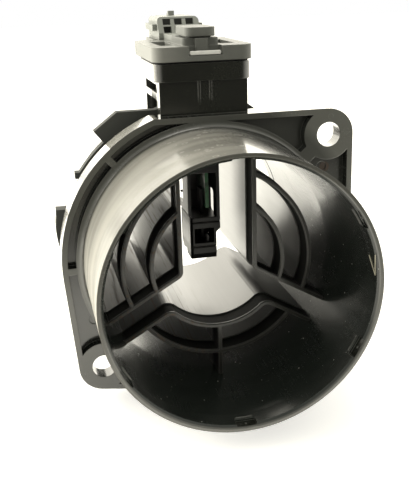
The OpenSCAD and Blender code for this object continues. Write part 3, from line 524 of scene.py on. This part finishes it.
def bypass_shade_rib(left=-3.9, right=3.4, low=2.3, top=6.4, front=60.4, back=60.9):
    """Near-black rib across the bypass behind its chip, with the air's gap under it: a superellipse
    swept up. It fills the view through the bypass with painted shade.
    """
    z, a = grid_of((low, top, 4), (0, 2 * math.pi, 24))
    across, deep = squarish(a, 0.3)
    x = (left + right) / 2 + (right - left) / 2 * across
    y = (front + back) / 2 + (back - front) / 2 * deep
    skin("bypass_shade_rib", np.stack([x, y, z], -1), finishes["chip_carrier"])


def rim_hair(points=((40.2, 5.4, 7.8), (40.8, 1.9, 2.4), (39.75, 0.2, 9.5)), radius=0.1, steps=24):
    """A hair on the rim, straight between the points: p + radius (n cos a + m sin a).

    p runs along the points, and n and m are at right angles to its way and to each other.
    """
    points = np.array(points)
    t = np.linspace(0, len(points) - 1.0001, steps * (len(points) - 1) + 1)
    k = t.astype(int)
    p = points[k] + (t - k)[:, None] * (points[k + 1] - points[k])
    way = np.gradient(p, axis=0)
    way /= np.linalg.norm(way, axis=1)[:, None]
    n = np.cross(way, (0, 1.0, 0))
    n /= np.linalg.norm(n, axis=1)[:, None]
    m = np.cross(way, n)
    a = np.linspace(0, 2 * math.pi, 9)[None, :, None]
    skin("rim_hair", p[:, None] + radius * (n[:, None] * np.cos(a) + m[:, None] * np.sin(a)),
         plain_part("hair_fibre", (0.85, 0.8, 0.62), 0.5, cells=2.0))


sleeve_skin()
catch_ridges()
notch_highlight()
gap_shade_lip()
bypass_shade_rib()
rim_hair()


def facing(place, right, forward):
    """The matrix of a camera or lamp at a place that looks forward, with its right side given."""
    up = np.cross(right, forward)
    axes = [[right[k], up[k], -forward[k]] for k in range(3)]
    return Matrix.Translation(place) @ Matrix(axes).to_4x4()


def photo_camera(focal_pixels=787.73, photo_height=480, sensor=36):
    """The photograph's view: where its camera stood and how its picture was turned."""
    right = np.array([0.974, -0.2267, -0.0283])
    forward = np.array([0.2072, 0.9287, -0.3075])
    forward /= np.linalg.norm(forward)
    right -= forward * (right @ forward)
    right /= np.linalg.norm(right)
    camera = new_object("camera", bpy.data.cameras.new("camera"))
    camera.matrix_world = facing((-0.0571, -0.20313, 0.08668), right, forward)
    camera.data.sensor_fit = "VERTICAL"
    camera.data.sensor_height = sensor
    camera.data.lens = focal_pixels / photo_height * sensor
    camera.data.clip_start = 0.01
    scene.camera = camera


def softbox(name, place, width, height, level, colour, aim=(0, 0.05, 0)):
    """An area lamp that faces the middle of the duct; level is its brightness, where 1 looks white."""
    lamp = bpy.data.lights.new(name, "AREA")
    lamp.shape = "RECTANGLE"
    lamp.size = width
    lamp.size_y = height
    lamp.energy = level * math.pi * width * height
    lamp.color = colour
    way = np.array(aim) - np.array(place)
    way /= np.linalg.norm(way)
    side = np.cross(way, (0, 0, 1.0))
    side /= np.linalg.norm(side)
    box = new_object(name, lamp)
    box.matrix_world = facing(place, side, way)
    box.visible_camera = False


def around(towards_back, dim=0.05):
    """How bright the room is, by how far a direction points to the back: dim in front, else white."""
    return dim + towards_back.above(-0.8, 0.5) * (1 - dim)


def white_room():
    """Plain white to the camera, even light on dull surfaces, and the room in all mirrored rays."""
    world = bpy.data.worlds.new("white_room")
    scene.world = world
    f = Finish("white_room", world)
    seen = f.node("LightPath", out="Is Camera Ray")
    dull = f.node("LightPath", out="Is Diffuse Ray")
    room = around(f.axes(f.node("TexCoord", out="Generated"))[1])
    background = f.node("Background", None, {
        "Color": f.mix(seen, CREAM, WHITE), "Strength": seen + (1 - seen) * (dull + (1 - dull) * room)})
    f.node("OutputWorld", None, {0: background})


def white_floor(size=3.0, gap=0.0002, eye=150):
    """A wide white sheet under the part: it keeps the shadow and glows as the room does.

    A place on it counts as the direction from a point eye millimetres above the origin, so that
    it is as dim in front as the room.
    """
    height = cad_box[0][2] - gap
    corners = [(x * size, y * size, height) for x, y in ((-1, -1), (1, -1), (1, 1), (-1, 1))]
    mesh = bpy.data.meshes.new("white_floor")
    mesh.from_pydata(corners, [], [(0, 1, 2, 3)])
    sheet = new_object("white_floor", mesh)
    f = Finish("floor_paper")
    x, y = f.axes(f.millimetres())[:2]
    seen = f.node("LightPath", out="Is Camera Ray")
    mirrored = f.node("LightPath", out="Is Glossy Ray")
    room = around(y / (x * x + y * y + eye ** 2) ** 0.5)
    bright = seen + (1 - seen) * room
    paper = f.node("BsdfDiffuse", None, {"Color": f.mix(bright, (0, 0, 0), (0.9, 0.89, 0.86))})
    glow = f.node("Emission", None, {
        "Color": f.mix(seen, CREAM, WHITE), "Strength": seen * 0.45 + mirrored * room * 0.9})
    mesh.materials.append(f.surface(f.node("AddShader", None, {0: paper, 1: glow})))


photo_camera()
softbox("back_light", (-0.15, 1.0, 0.42), 1.9, 0.75, level=2.3, colour=WARM)
softbox("top_light", (-0.1, 0.15, 0.9), 0.45, 0.45, level=3.0, colour=CREAM)
softbox("left_light", (-0.85, 0.45, 0.4), 0.8, 0.7, level=6.5, colour=CREAM)
white_room()
white_floor()
scene.view_settings.view_transform = "Standard"
